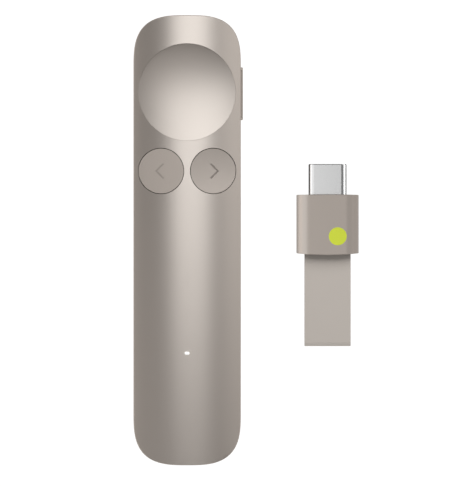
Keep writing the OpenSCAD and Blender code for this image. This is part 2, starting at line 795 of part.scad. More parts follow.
// One ribbon folded double round a closed end
module pull_strap() color(strap_grey)
    at_receiver() difference() {
        along_x(-strap_w / 2, strap_w / 2) difference() {
            union() {
                translate([strap_fold_y, 0]) circle(d = strap_stack);
                translate([strap_fold_y, -strap_stack / 2])
                    square([core_y0 + strap_grip - strap_fold_y, strap_stack]);
            }
            translate([strap_fold_y, 0]) circle(d = strap_fold);
            translate([strap_fold_y, -strap_fold / 2])
                square([core_y0 + strap_grip - strap_fold_y + over, strap_fold]);
        }
        translate([0, pin_y, 0]) cylinder(r = pin_r, h = collar_h, center = true);
    }

module strap_pin() color(steel)
    at_receiver() translate([0, pin_y, 0]) cylinder(r = pin_r - fit_gap, h = core_h - 2 * fit_gap, center = true);

front_shell();
back_shell();
receiver_bay();
main_board();
board_screws();
pointer_cap();
pointer_plunger();
pointer_switch();
previous_cap();
previous_plunger();
previous_switch();
next_cap();
next_plunger();
next_switch();
side_key();
side_plunger();
side_switch();
light_pipe();
status_led();
battery();
battery_tape();
protection_board();
battery_leads();
battery_socket();
haptic_motor();
motor_pad();
port_shell();
port_tongue();
port_contacts();
radio_shield();
radio_antenna();
controller_chip();
motion_sensor();
crystal();
charge_chip();
capacitors();
receiver_collar();
receiver_core();
receiver_board();
receiver_chip();
plug_shell();
plug_insulator();
plug_contacts();
pull_strap();
strap_pin();
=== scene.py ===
"""Dresses a wireless presentation clicker and its plug-in receiver.

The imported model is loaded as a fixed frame, in metres. Each operator models one
piece or one group of like pieces round it and gives it its finish.
"""

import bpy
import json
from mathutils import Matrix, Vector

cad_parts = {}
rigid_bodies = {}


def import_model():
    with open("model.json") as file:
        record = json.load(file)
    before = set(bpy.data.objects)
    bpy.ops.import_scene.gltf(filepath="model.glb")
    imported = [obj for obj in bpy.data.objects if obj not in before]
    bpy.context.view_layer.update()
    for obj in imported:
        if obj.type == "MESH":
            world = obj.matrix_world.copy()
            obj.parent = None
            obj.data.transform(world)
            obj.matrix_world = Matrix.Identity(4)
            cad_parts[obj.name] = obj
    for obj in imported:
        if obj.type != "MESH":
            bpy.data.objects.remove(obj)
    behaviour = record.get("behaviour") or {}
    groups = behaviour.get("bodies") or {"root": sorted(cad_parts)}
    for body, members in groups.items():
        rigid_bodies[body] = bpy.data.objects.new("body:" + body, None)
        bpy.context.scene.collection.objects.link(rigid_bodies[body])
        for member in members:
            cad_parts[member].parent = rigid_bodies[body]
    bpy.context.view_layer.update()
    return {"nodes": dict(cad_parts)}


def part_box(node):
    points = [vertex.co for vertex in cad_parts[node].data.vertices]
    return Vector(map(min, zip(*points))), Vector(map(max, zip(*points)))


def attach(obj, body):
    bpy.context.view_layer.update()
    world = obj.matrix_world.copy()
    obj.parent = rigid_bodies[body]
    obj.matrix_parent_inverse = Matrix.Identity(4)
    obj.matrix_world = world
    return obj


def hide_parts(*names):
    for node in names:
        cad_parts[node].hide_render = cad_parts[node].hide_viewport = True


bl_info = {
    "name": "Presentation Clicker",
    "version": (1, 0, 0),
    "blender": (4, 5, 0),
    "location": "3D View > Sidebar > Clicker",
    "description": "Models the outside of a presentation clicker and its receiver",
    "category": "Object",
}

import json
import math

import bmesh
import bpy
from mathutils import Vector

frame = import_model()

MM = 0.001
TINY = 0.002 * MM

FRONT_LOW, FRONT_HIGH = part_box("front_shell")
SEAM_Z = FRONT_LOW.z
TOP_Z = FRONT_HIGH.z
HALF_WIDTH = FRONT_HIGH.x
HALF_LENGTH = FRONT_HIGH.y


def middle(node):
    """The middle of a CAD node's box."""
    low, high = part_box(node)
    return (low + high) / 2


def extent(node):
    """A CAD node's size across the housing, upwards and along the housing."""
    low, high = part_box(node)
    return high.x - low.x, high.z - low.z, high.y - low.y


# ---------- sizes and colours ----------


def length(name, description, default):
    """A length in metres that a user can change."""
    return bpy.props.FloatProperty(
        name=name, description=description, default=default, min=0, unit="LENGTH", precision=5
    )


def colour(name, description, default):
    """A linear RGB colour that a user can change."""
    return bpy.props.FloatVectorProperty(
        name=name, description=description, default=default, min=0, max=1, size=3, subtype="COLOR"
    )


class ClickerHousingSizes(bpy.types.PropertyGroup):
    """Sizes of the two-part housing."""

    crown_radius: length("Crown radius", "Radius of the crowned front across its width", 28 * MM)
    end_reach: length("End reach", "Length of each rounded end", 11.3 * MM)
    end_squareness: bpy.props.FloatProperty(
        name="End squareness", description="2 is an ellipse, and more is squarer", default=3.05, min=2
    )
    end_steps: bpy.props.IntProperty(
        name="End steps", description="Points along each quarter of an end", default=28, min=8
    )
    wall: length("Wall", "Wall thickness of both shells", 1.2 * MM)
    rim_softening: length("Rim softening", "Rounding of the front's outer edge", 0.15 * MM)
    back_rounding: length("Back rounding", "Rounding between the back and the sides", 4 * MM)
    seam_groove: length("Seam groove", "Bevel on each side of the seam", 0.09 * MM)
    well_softening: length("Well softening", "Bevel round the wells", 0.02 * MM)
    dish_well_depth: length("Dish well depth", "Depth of the dish's well from the crown's top", 3 * MM)
    arrow_well_depth: length("Arrow well depth", "Depth of the arrow wells from the crown's top", 2 * MM)
    bay_room: length("Bay room", "Clearance round the liner of the receiver bay", 0.05 * MM)
    crown_step: length("Crown step", "Spacing of the lines that carry the crown", 0.5 * MM)
    length_step: length("Length step", "Spacing of the lines across the housing", 2.5 * MM)


class ClickerButtonSizes(bpy.types.PropertyGroup):
    """Sizes of the dish, the arrow buttons, the side key and the light."""

    dish_well: length("Dish well", "Radius of the well that holds the dish", 10.55 * MM)
    dish_gap: length("Dish gap", "Clearance round the dish", 0.015 * MM)
    dish_depth: length("Dish depth", "Depth of the thumb dish below its rim", 1.1 * MM)
    dish_rim: length("Dish rim", "Rounding between the dish and its side", 0.02 * MM)
    dish_plate: length("Dish plate", "Thickness of the dish's plate", 1.2 * MM)
    dish_skirt: length("Dish skirt", "Height of the skirt round the dish", 1.5 * MM)
    dish_skirt_wall: length("Dish skirt wall", "Thickness of the skirt", 1.1 * MM)
    dish_post: length("Dish post", "Radius of the post under the dish", 1.4 * MM)
    arrow_well: length("Arrow well", "Radius of each arrow button's well", 5 * MM)
    arrow_gap: length("Arrow gap", "Clearance round each arrow button", 0.115 * MM)
    arrow_foot: length("Arrow foot", "Hidden foot of each arrow cap that isn't shown", 0.8 * MM)
    arrow_softening: length("Arrow softening", "Rounding of each arrow button's edge", 0.03 * MM)
    chevron_arm: length("Chevron arm", "Length of each arm of the chevrons", 2.25 * MM)
    chevron_stroke: length("Chevron stroke", "Width of the chevrons' stroke", 0.36 * MM)
    chevron_depth: length("Chevron depth", "Depth of the engraving", 0.06 * MM)
    chevron_reach: length("Chevron reach", "Button's middle to the elbow of its chevron", 1.03 * MM)
    key_gap: length("Key gap", "Clearance round the side key", 0.12 * MM)
    key_flange: length("Key flange", "Thickness of the side key's flange", 0.7 * MM)
    key_reach: length("Key reach", "How far the flange stands out round the key", 0.55 * MM)
    key_softening: length("Key softening", "Rounding of the side key's edges", 0.22 * MM)
    light_width: length("Light width", "Width of the hole for the status window", 1.1 * MM)
    light_height: length("Light height", "Height of the hole for the status window", 0.7 * MM)
    light_gap: length("Light gap", "Clearance round the status window", 0.02 * MM)
    light_drop: length("Light drop", "How far the window lies below the front", 0.03 * MM)
    light_dome: length("Light dome", "Rounding of the status window", 0.12 * MM)
    light_plate: length("Light plate", "Depth of the window's oval part from the front", 1.2 * MM)


class ClickerReceiverSizes(bpy.types.PropertyGroup):
    """Sizes of the receiver."""

    collar_softening: length("Collar softening", "Rounding of the collar's ends", 0.16 * MM)
    collar_front: length("Collar front crown", "Crown of the collar's plug end", 0.08 * MM)
    collar_back: length("Collar back crown", "Crown of the collar's strap end", 0.4 * MM)
    collar_wall: length("Collar wall", "Wall of the collar", 0.9 * MM)
    collar_end: length("Collar end", "Thickness of the collar's plug end", 1.2 * MM)
    collar_step: length("Collar step", "Spacing of the lines that carry the crowned ends", 0.5 * MM)
    plug_gap: length("Plug gap", "Clearance round the plug where it enters the collar", 0.02 * MM)
    plug_sheet: length("Plug sheet", "Sheet thickness of the plug", 0.3 * MM)
    plug_softening: length("Plug softening", "Rounding of the plug's tip", 0.22 * MM)
    dot_ink: length("Dot ink", "Thickness of the printed dot", 0.02 * MM)
    dot_radius: length("Dot radius", "Radius of the plain dot printed on the collar", 1.95 * MM)
    dot_right: length("Dot right", "Collar's middle to the dot's middle, across", 2.2 * MM)
    dot_up: length("Dot up", "Collar's strap end to the dot's middle", 4.1 * MM)
    strap_ribbon: length("Strap ribbon", "Thickness of the strap's ribbon", 0.8 * MM)
    strap_softening: length("Strap softening", "Rounding of the strap's edges", 0.14 * MM)


class ClickerFinishes(bpy.types.PropertyGroup):
    """Colours of the surfaces."""

    metal: colour("Metal", "Satin metal of the housing", (0.486, 0.427, 0.381))
    steel: colour("Steel", "Plug and other bright metal", (0.72, 0.72, 0.72))
    strap: colour("Strap", "Silicone of the pull strap", (0.55, 0.5, 0.454))
    dot: colour("Dot", "Lime dot on the receiver", (0.83, 0.93, 0.05))
    board: colour("Board", "Solder mask of the circuit boards", (0.012, 0.075, 0.035))
    gold: colour("Gold", "Plated contacts", (0.75, 0.5, 0.17))
    black: colour("Black", "Moulded black plastic", (0.02, 0.02, 0.022))


class ClickerStageSettings(bpy.types.PropertyGroup):
    """The floor and the camera."""

    floor_size: length("Floor size", "Side of the square floor", 3.0)
    floor_gap: length("Floor gap", "Gap between the floor and what lies on it", 0.02 * MM)
    camera_height: length("Camera height", "Height of the camera over its aim", 3.0)
    camera_aim: bpy.props.FloatVectorProperty(
        name="Camera aim",
        description="Point in the middle of the picture",
        default=(9.3 * MM, -0.72 * MM, 9.5 * MM),
        size=3,
        unit="LENGTH",
        precision=5,
    )
    picture_scale: bpy.props.FloatProperty(
        name="Picture scale", description="Picture points to a millimetre", default=4.61, min=1
    )
    picture_height: bpy.props.IntProperty(
        name="Picture height", description="Points along the picture's long side", default=487, min=1
    )


# ---------- shaping by hand ----------


def start_clean():
    """Leaves edit mode and deselects all, because the loaded frame is selected."""
    if bpy.context.mode != "OBJECT":
        bpy.ops.object.mode_set(mode="OBJECT")
    bpy.ops.object.select_all(action="DESELECT")


def take(piece):
    """Makes a piece the only one selected, and the active one."""
    start_clean()
    piece.select_set(True)
    bpy.context.view_layer.objects.active = piece


def edit(piece):
    """Takes a piece into edit mode with all of it selected."""
    take(piece)
    bpy.ops.object.mode_set(mode="EDIT")
    bpy.ops.mesh.select_mode(type="VERT")
    bpy.ops.mesh.select_all(action="SELECT")


def pick(piece, kind, test):
    """Selects the points or edges that pass a test, in edit mode."""
    bpy.ops.mesh.select_mode(type=kind)
    bpy.ops.mesh.select_all(action="DESELECT")
    shape = bmesh.from_edit_mesh(piece.data)
    for element in {"VERT": shape.verts, "EDGE": shape.edges}[kind]:
        if test(element):
            element.select_set(True)
    bmesh.update_edit_mesh(piece.data)


def at_height(z):
    """A test for edges that lie at one height."""
    return lambda edge: all(abs(v.co.z - z) < TINY for v in edge.verts)


def round_edges(offset, steps):
    """Rounds the picked edges."""
    bpy.ops.mesh.bevel(offset=offset, segments=steps, profile=0.5, affect="EDGES", clamp_overlap=False)


def rounded_plate(name, width, depth, corner, steps, squareness=2.0):
    """A flat plate in X and Y with its four corners rounded."""
    start_clean()
    bpy.ops.mesh.primitive_plane_add(size=1)
    piece = bpy.context.object
    piece.name = name
    edit(piece)
    bpy.ops.transform.resize(value=(width, depth, 1))
    bpy.ops.mesh.bevel(
        offset=corner,
        segments=steps,
        profile=0.5 ** (2 / squareness),
        affect="VERTICES",
        clamp_overlap=False,
    )
    bpy.ops.mesh.select_all(action="SELECT")
    bpy.ops.mesh.remove_doubles(threshold=TINY)
    return piece


def raise_plate(piece, low, high):
    """Moves a flat plate to one height and draws it up or down to another."""
    edit(piece)
    bpy.ops.transform.translate(value=(0, 0, low))
    bpy.ops.mesh.extrude_region_move(TRANSFORM_OT_translate={"value": (0, 0, high - low)})
    bpy.ops.mesh.select_all(action="SELECT")
    bpy.ops.mesh.normals_make_consistent(inside=False)
    return piece


def place(piece, location=(0, 0, 0), turn=(0, 0, 0)):
    """Turns and moves a piece, and puts its place into its mesh."""
    take(piece)
    piece.rotation_euler = turn
    piece.location = location
    bpy.ops.object.transform_apply(location=True, rotation=True, scale=True)
    return piece


def combine(piece, tool, operation="DIFFERENCE"):
    """Cuts a tool out of a piece, or joins it on, and removes the tool."""
    take(piece)
    bpy.ops.object.modifier_add(type="BOOLEAN")
    cut = piece.modifiers[-1]
    cut.object = tool
    cut.operation = operation
    cut.solver = "EXACT"
    bpy.ops.object.modifier_apply(modifier=cut.name)
    bpy.data.objects.remove(tool, do_unlink=True)
    return piece


def slice_across(piece, axis, low, high, step):
    """Adds lines across a piece at even steps along one axis."""
    edit(piece)
    count = max(1, round((high - low) / step))
    normal = [0, 0, 0]
    normal[axis] = 1
    for i in range(1, count):
        point = [0, 0, 0]
        point[axis] = low + (high - low) * i / count
        bpy.ops.mesh.select_all(action="SELECT")
        bpy.ops.mesh.bisect(plane_co=point, plane_no=normal)
    start_clean()


def smooth(piece, degrees=38):
    """Shades a piece smooth up to an angle, led by its large faces."""
    take(piece)
    bpy.ops.object.shade_smooth_by_angle(angle=math.radians(degrees))
    bpy.ops.object.modifier_add(type="WEIGHTED_NORMAL")
    piece.modifiers[-1].keep_sharp = True
    bpy.ops.object.modifier_apply(modifier=piece.modifiers[-1].name)
    return piece


def turned(name, profile, steps):
    """A piece turned round Z from a profile of (radius, height) points."""
    start_clean()
    bpy.ops.mesh.primitive_plane_add(size=MM)
    piece = bpy.context.object
    piece.name = name
    edit(piece)
    bpy.ops.mesh.merge(type="CENTER")
    shape = bmesh.from_edit_mesh(piece.data)
    shape.verts.ensure_lookup_table()
    shape.verts[0].co = (profile[0][0], 0, profile[0][1])
    bmesh.update_edit_mesh(piece.data)
    for (r0, z0), (r1, z1) in zip(profile, profile[1:]):
        bpy.ops.mesh.extrude_vertices_move(TRANSFORM_OT_translate={"value": (r1 - r0, 0, z1 - z0)})
    bpy.ops.mesh.select_all(action="SELECT")
    bpy.ops.mesh.spin(steps=steps, angle=2 * math.pi, center=(0, 0, 0), axis=(0, 0, 1))
    bpy.ops.mesh.select_all(action="SELECT")
    bpy.ops.mesh.remove_doubles(threshold=TINY)
    bpy.ops.mesh.normals_make_consistent(inside=False)
    start_clean()
    return piece


def arc_points(centre, radius, start, stop, steps):
    """Points along an arc, in degrees from the first axis."""
    angles = [math.radians(start + (stop - start) * i / steps) for i in range(steps + 1)]
    return [(centre[0] + radius * math.cos(a), centre[1] + radius * math.sin(a)) for a in angles]


def finish_piece(piece, material, body, slot, *nodes):
    """Gives a piece its material and its body, and hides the CAD nodes that it stands for; the slot is not
    used.
    """
    piece.data.materials.clear()
    piece.data.materials.append(material)
    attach(piece, body)
    if nodes:
        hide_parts(*nodes)


def crown_drop(x, radius):
    """How far the crowned front lies below its middle line at x."""
    return radius - math.sqrt(radius * radius - x * x)


# ---------- finishes ----------


def group_input(group, name, kind, value):
    """Adds a named input with a default to a node group."""
    socket = group.interface.new_socket(name=name, in_out="INPUT", socket_type=kind)
    socket.default_value = value


def grain_group():
    """A node group for the fine grain of a blasted or moulded surface."""
    if "Fine Grain" in bpy.data.node_groups:
        return bpy.data.node_groups["Fine Grain"]
    group = bpy.data.node_groups.new("Fine Grain", "ShaderNodeTree")
    group_input(group, "Scale", "NodeSocketFloat", 6000.0)
    group_input(group, "Tone", "NodeSocketColor", (0.5, 0.5, 0.5, 1))
    group_input(group, "Tone Change", "NodeSocketFloat", 0.06)
    group_input(group, "Roughness", "NodeSocketFloat", 0.4)
    group_input(group, "Roughness Change", "NodeSocketFloat", 0.08)
    outputs = {"Color": "NodeSocketColor", "Roughness": "NodeSocketFloat", "Height": "NodeSocketFloat"}
    for name, kind in outputs.items():
        group.interface.new_socket(name=name, in_out="OUTPUT", socket_type=kind)
    nodes, links = group.nodes, group.links
    inlet = nodes.new("NodeGroupInput")
    outlet = nodes.new("NodeGroupOutput")
    place_on = nodes.new("ShaderNodeTexCoord")
    fine = nodes.new("ShaderNodeTexNoise")
    fine.inputs["Detail"].default_value = 3
    broad = nodes.new("ShaderNodeTexNoise")
    broad.inputs["Scale"].default_value = 90
    broad.inputs["Detail"].default_value = 4
    links.new(place_on.outputs["Object"], fine.inputs["Vector"])
    links.new(place_on.outputs["Object"], broad.inputs["Vector"])
    links.new(inlet.outputs["Scale"], fine.inputs["Scale"])

    def spread(source, amount):
        """Noise moved to run from minus to plus the amount."""
        centred = nodes.new("ShaderNodeMath")
        centred.operation = "SUBTRACT"
        centred.inputs[1].default_value = 0.5
        links.new(source, centred.inputs[0])
        scaled = nodes.new("ShaderNodeMath")
        scaled.operation = "MULTIPLY"
        links.new(centred.outputs[0], scaled.inputs[0])
        links.new(amount, scaled.inputs[1])
        return scaled.outputs[0]

    tone = nodes.new("ShaderNodeMath")
    tone.operation = "ADD"
    tone.inputs[1].default_value = 1
    links.new(spread(broad.outputs["Fac"], inlet.outputs["Tone Change"]), tone.inputs[0])
    tinted = nodes.new("ShaderNodeVectorMath")
    tinted.operation = "SCALE"
    links.new(inlet.outputs["Tone"], tinted.inputs[0])
    links.new(tone.outputs[0], tinted.inputs["Scale"])
    links.new(tinted.outputs[0], outlet.inputs["Color"])
    rough = nodes.new("ShaderNodeMath")
    rough.operation = "ADD"
    links.new(spread(fine.outputs["Fac"], inlet.outputs["Roughness Change"]), rough.inputs[0])
    links.new(inlet.outputs["Roughness"], rough.inputs[1])
    links.new(rough.outputs[0], outlet.inputs["Roughness"])
    links.new(fine.outputs["Fac"], outlet.inputs["Height"])
    return group


def finish(
    name, tone, metallic, roughness, tone_change=0.06, roughness_change=0.08, grain=6000.0, bump=0.05
):
    """A material with fine grain: a tone, a roughness that varies, and a slight bump."""
    grain_height = 0.02 * MM
    if name in bpy.data.materials:
        return bpy.data.materials[name]
    material = bpy.data.materials.new(name)
    material.use_nodes = True
    nodes, links = material.node_tree.nodes, material.node_tree.links
    shader = nodes["Principled BSDF"]
    shader.inputs["Metallic"].default_value = metallic
    surface = nodes.new("ShaderNodeGroup")
    surface.node_tree = grain_group()
    surface.inputs["Scale"].default_value = grain
    surface.inputs["Tone"].default_value = (*tone, 1)
    surface.inputs["Tone Change"].default_value = tone_change
    surface.inputs["Roughness"].default_value = roughness
    surface.inputs["Roughness Change"].default_value = roughness_change
    relief = nodes.new("ShaderNodeBump")
    relief.inputs["Strength"].default_value = bump
    relief.inputs["Distance"].default_value = grain_height
    links.new(surface.outputs["Color"], shader.inputs["Base Color"])
    links.new(surface.outputs["Roughness"], shader.inputs["Roughness"])
    links.new(surface.outputs["Height"], relief.inputs["Height"])
    links.new(relief.outputs["Normal"], shader.inputs["Normal"])
    return material


def satin_metal():
    """The housing's satin metal."""
    tone = bpy.context.scene.clicker_finishes.metal
    return finish("satin_metal", tone, 1.0, 0.35, tone_change=0.03, roughness_change=0.04, bump=0.02)


def etched_metal_with_painted_shade():
    """The duller metal inside the engraved chevrons, its tone darkened to paint the shade that falls in the
    grooves.
    """
    # the tone is darkened as painted shade in the engraved grooves
    painted_shade_share = 0.85
    tone = [painted_shade_share * channel for channel in bpy.context.scene.clicker_finishes.metal]
    return finish("etched_metal_with_painted_shade", tone, 0.3, 0.7, tone_change=0.1, bump=0.1)


# ---------- housing ----------


def housing_outline(name, inset):
    """The housing's outline as a flat plate, drawn in by an inset."""
    sizes = bpy.context.scene.clicker_housing
    half_width, half_length = HALF_WIDTH - inset, HALF_LENGTH - inset
    piece = rounded_plate(
        name, 2 * half_width, 2 * half_length, half_width, sizes.end_steps, sizes.end_squareness
    )
    squeeze = (sizes.end_reach - inset) / half_width
    for side in (-1, 1):
        pick(piece, "VERT", lambda v: side * v.co.y > half_length - half_width - TINY)
        bpy.ops.transform.resize(value=(1, squeeze, 1), center_override=(0, side * half_length, 0))
    return piece


def well_tool(radius, x, y, low):
    """A round tool that cuts a well from a height up through the flat front."""
    start_clean()
    high = TOP_Z + MM
    bpy.ops.mesh.primitive_cylinder_add(
        vertices=128, radius=radius, depth=high - low, location=(x, y, (low + high) / 2)
    )
    return place(bpy.context.object, bpy.context.object.location)


def stadium_tool(width, height, low, high):
    """An upright prism with round ends, centred on Z."""
    piece = rounded_plate("tool", width, height, min(width, height) / 2, 16)
    return raise_plate(piece, low, high)


def bay_tool():
    """The tool that opens both shells round the liner of the receiver bay."""
    low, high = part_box("receiver_bay")
    room = bpy.context.scene.clicker_housing.bay_room
    width, height = high.x - low.x + 2 * room, high.z - low.z + 2 * room
    deep = high.y - low.y + 2 * MM
    piece = stadium_tool(width, height, 0, deep)
    return place(piece, (0, high.y + room - deep, (low.z + high.z) / 2), (-math.pi / 2, 0, 0))


def key_face():
    """Height and length of the side key's outer part, inside its flange."""
    low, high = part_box("side_key")
    reach = bpy.context.scene.clicker_buttons.key_reach
    return high.z - low.z - 2 * reach, high.y - low.y - 2 * reach


class CLICKER_OT_front_housing(bpy.types.Operator):
    """Model the crowned front with its wells, window and key slot"""

    bl_idname = "clicker.front_housing"
    bl_label = "Front housing"

    def execute(self, context):
        sizes, buttons = context.scene.clicker_housing, context.scene.clicker_buttons
        piece = raise_plate(housing_outline("front_housing", 0), SEAM_Z, TOP_Z)
        pick(piece, "EDGE", at_height(TOP_Z))
        round_edges(sizes.rim_softening, 8)
        pick(piece, "EDGE", at_height(SEAM_Z))
        round_edges(sizes.seam_groove, 2)
        inner = raise_plate(housing_outline("room", sizes.wall), SEAM_Z - MM, TOP_Z - sizes.wall)
        combine(piece, inner)

        wells = [(buttons.dish_well, 0, middle("pointer_cap").y, sizes.dish_well_depth)]
        for node in ("previous_plunger", "next_plunger"):
            spot = middle(node)
            wells.append((buttons.arrow_well, spot.x, spot.y, sizes.arrow_well_depth))
        for radius, x, y, depth in wells:
            combine(piece, well_tool(radius, x, y, TOP_Z - depth))
            edit(piece)
            pick(
                piece,
                "EDGE",
                lambda e: at_height(TOP_Z)(e)
                and all(math.hypot(v.co.x - x, v.co.y - y) < radius + TINY for v in e.verts),
            )
            round_edges(sizes.well_softening, 2)
        across, along = buttons.light_width, buttons.light_height
        window = stadium_tool(across, along, TOP_Z - 2 * sizes.wall, TOP_Z + MM)
        combine(piece, place(window, (0, middle("light_pipe").y, 0)))

        slice_across(piece, 0, -HALF_WIDTH, HALF_WIDTH, sizes.crown_step)
        slice_across(piece, 1, -HALF_LENGTH, HALF_LENGTH, sizes.length_step)
        half_height = (SEAM_Z + TOP_Z) / 2
        for v in piece.data.vertices:
            if v.co.z > half_height:
                v.co.z -= crown_drop(v.co.x, sizes.crown_radius)

        combine(piece, bay_tool())
        slot_size = [side + 2 * buttons.key_gap for side in key_face()]
        slot = stadium_tool(*slot_size, HALF_WIDTH - 2 * sizes.wall, HALF_WIDTH + MM)
        key = middle("side_key")
        combine(piece, place(slot, (0, key.y, key.z), (0, math.pi / 2, 0)))
        smooth(piece, 20)
        finish_piece(piece, satin_metal(), "housing", "satin_shell", "front_shell")
        return {"FINISHED"}


class CLICKER_OT_back_housing(bpy.types.Operator):
    """Model the rounded back"""

    bl_idname = "clicker.back_housing"
    bl_label = "Back housing"

    def execute(self, context):
        sizes = context.scene.clicker_housing
        piece = raise_plate(housing_outline("back_housing", 0), SEAM_Z, 0)
        pick(piece, "EDGE", at_height(0))
        round_edges(sizes.back_rounding - TINY, 14)
        pick(piece, "EDGE", at_height(SEAM_Z))
        round_edges(sizes.seam_groove / 2, 2)
        inner = raise_plate(housing_outline("room", sizes.wall), SEAM_Z + MM, sizes.wall)
        pick(inner, "EDGE", at_height(sizes.wall))
        round_edges(sizes.back_rounding - sizes.wall, 8)
        combine(piece, inner)
        combine(piece, bay_tool())
        smooth(piece)
        finish_piece(piece, satin_metal(), "housing", "back_shell", "back_shell")
        return {"FINISHED"}


# ---------- buttons ----------


class CLICKER_OT_pointer_dish(bpy.types.Operator):
    """Model the round thumb dish"""

    bl_idname = "clicker.pointer_dish"
    bl_label = "Pointer dish"

    def execute(self, context):
        sizes = context.scene.clicker_buttons
        rim_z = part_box("pointer_cap")[1].z
        radius = sizes.dish_well - sizes.dish_gap
        soft = sizes.dish_rim
        edge = radius - soft
        depth = sizes.dish_depth
        sphere = (edge * edge + depth * depth) / (2 * depth)
        sphere_z = rim_z - depth + sphere
        under = sphere + sizes.dish_plate
        skirt_z = rim_z - sizes.dish_skirt
        skirt_in = radius - sizes.dish_skirt_wall
        post = sizes.dish_post
        post_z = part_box("pointer_plunger")[1].z

        def below(r):
            """Height of the plate's underside at a radius."""
            return sphere_z - math.sqrt(under * under - r * r)

        under_rings = (3 * MM, 5 * MM, 7 * MM, skirt_in)
        profile = [(0, post_z), (post, post_z), (post, below(post))]
        profile += [(r, below(r)) for r in under_rings]
        profile += [(skirt_in, skirt_z), (radius, skirt_z)]
        profile += arc_points((edge, rim_z - soft), soft, 0, 90, 6)
        # the narrow outermost ring keeps the shading of the rim off the dish
        steps = 40
        rings = [edge, edge - soft] + [edge * (1 - i / steps) for i in range(1, steps + 1)]
        profile += [(r, sphere_z - math.sqrt(sphere * sphere - r * r)) for r in rings]
        piece = turned("pointer_dish", profile, 144)
        place(piece, (0, middle("pointer_cap").y, 0))
        smooth(piece, 30)
        finish_piece(piece, satin_metal(), "pointer_button", "satin_button", "pointer_cap")
        return {"FINISHED"}


class CLICKER_OT_arrow_buttons(bpy.types.Operator):
    """Model the two arrow buttons with their engraved chevrons"""

    bl_idname = "clicker.arrow_buttons"
    bl_label = "Arrow buttons"

    def execute(self, context):
        self.button("previous", -1)
        self.button("next", 1)
        return {"FINISHED"}

    def button(self, which, side):
        """One arrow button, whose flat face follows the slope of the crown."""
        sizes = bpy.context.scene.clicker_buttons
        crown = bpy.context.scene.clicker_housing.crown_radius
        spot = middle(which + "_plunger")
        cap = which + "_cap"
        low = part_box(cap)[0].z + sizes.arrow_foot
        well = sizes.arrow_well
        inner_z = TOP_Z - crown_drop(abs(spot.x) - well, crown)
        outer_z = TOP_Z - crown_drop(abs(spot.x) + well, crown)
        face = Vector((spot.x, spot.y, (inner_z + outer_z) / 2))
        tilt = math.atan2(inner_z - outer_z, 2 * well) * side

        start_clean()
        bpy.ops.mesh.primitive_cylinder_add(
            vertices=128,
            radius=well - sizes.arrow_gap,
            depth=TOP_Z - low,
            location=(spot.x, spot.y, (low + TOP_Z) / 2),
        )
        piece = bpy.context.object
        piece.name = which + "_button"
        place(piece, piece.location)
        edit(piece)
        upright = Vector((math.sin(tilt), 0, math.cos(tilt)))
        bpy.ops.mesh.bisect(plane_co=face, plane_no=upright, use_fill=True, clear_outer=True)
        pick(piece, "EDGE", lambda e: all(abs((v.co - face).dot(upright)) < TINY for v in e.verts))
        round_edges(sizes.arrow_softening, 3)
        for arm in (-1, 1):
            stroke, depth = sizes.chevron_stroke, sizes.chevron_depth
            start_clean()
            bpy.ops.mesh.primitive_cube_add(size=1)
            tool = bpy.context.object
            edit(tool)
            bpy.ops.transform.resize(value=(sizes.chevron_arm + stroke / 2, stroke, 2 * depth))
            bpy.ops.transform.translate(value=(sizes.chevron_arm / 2 - stroke / 4, 0, 0))
            place(tool, turn=(0, 0, math.radians(90 + side * 90 + arm * 45)))
            place(tool, (side * sizes.chevron_reach, 0, 0))
            place(tool, face, (0, tilt, 0))
            combine(piece, tool)
        smooth(piece, 35)
        finish_piece(piece, satin_metal(), which + "_button", "satin_button", cap)
        piece.data.materials.append(etched_metal_with_painted_shade())
        # the sunk faces of the chevrons take the etched metal, whose darker tone is painted shade of the
        # grooves
        for patch in piece.data.polygons:
            offset = patch.center - face
            sunk = -2 * sizes.chevron_depth < offset.dot(upright) < -TINY
            if sunk and offset.length < sizes.chevron_arm:
                patch.material_index = 1


class CLICKER_OT_side_key(bpy.types.Operator):
    """Model the slim key in the side"""

    bl_idname = "clicker.side_key"
    bl_label = "Side key"

    def execute(self, context):
        sizes = context.scene.clicker_buttons
        low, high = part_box("side_key")
        centre = middle("side_key")
        spot, turn = (0, centre.y, centre.z), (0, math.pi / 2, 0)
        height, along = key_face()
        piece = rounded_plate("side_key_button", height, along, height / 2, 16)
        raise_plate(piece, low.x + sizes.key_flange / 2, high.x)
        pick(piece, "EDGE", at_height(high.x))
        round_edges(sizes.key_softening, 4)
        place(piece, spot, turn)
        _, height, along = extent("side_key")
        flange = stadium_tool(height, along, low.x, low.x + sizes.key_flange)
        combine(piece, place(flange, spot, turn), "UNION")
        smooth(piece)
        finish_piece(piece, satin_metal(), "side_button", "satin_button", "side_key")
        return {"FINISHED"}


class CLICKER_OT_status_light(bpy.types.Operator):
    """Model the status window and its light pipe"""

    bl_idname = "clicker.status_light"
    bl_label = "Status light"

    def execute(self, context):
        sizes = context.scene.clicker_buttons
        low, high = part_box("light_pipe")
        across, along = sizes.light_width - 2 * sizes.light_gap, sizes.light_height - 2 * sizes.light_gap
        top = TOP_Z - sizes.light_drop
        piece = rounded_plate("status_window", across, along, along / 2, 12)
        raise_plate(piece, TOP_Z - sizes.light_plate, top)
        pick(piece, "EDGE", at_height(top))
        round_edges(sizes.light_dome, 4)
        spot_y = middle("light_pipe").y
        place(piece, (0, spot_y, 0))
        start_clean()
        # the column ends inside the oval part
        column_top = TOP_Z - sizes.light_plate * 2 / 3
        bpy.ops.mesh.primitive_cylinder_add(
            vertices=48,
            radius=(high.x - low.x) / 2,
            depth=column_top - low.z,
            location=(0, spot_y, (column_top + low.z) / 2),
        )
        pipe = place(bpy.context.object, bpy.context.object.location)
        combine(piece, pipe, "UNION")
        smooth(piece)
        finish_piece(piece, glowing_window(), "housing", "light_window", "light_pipe")
        return {"FINISHED"}


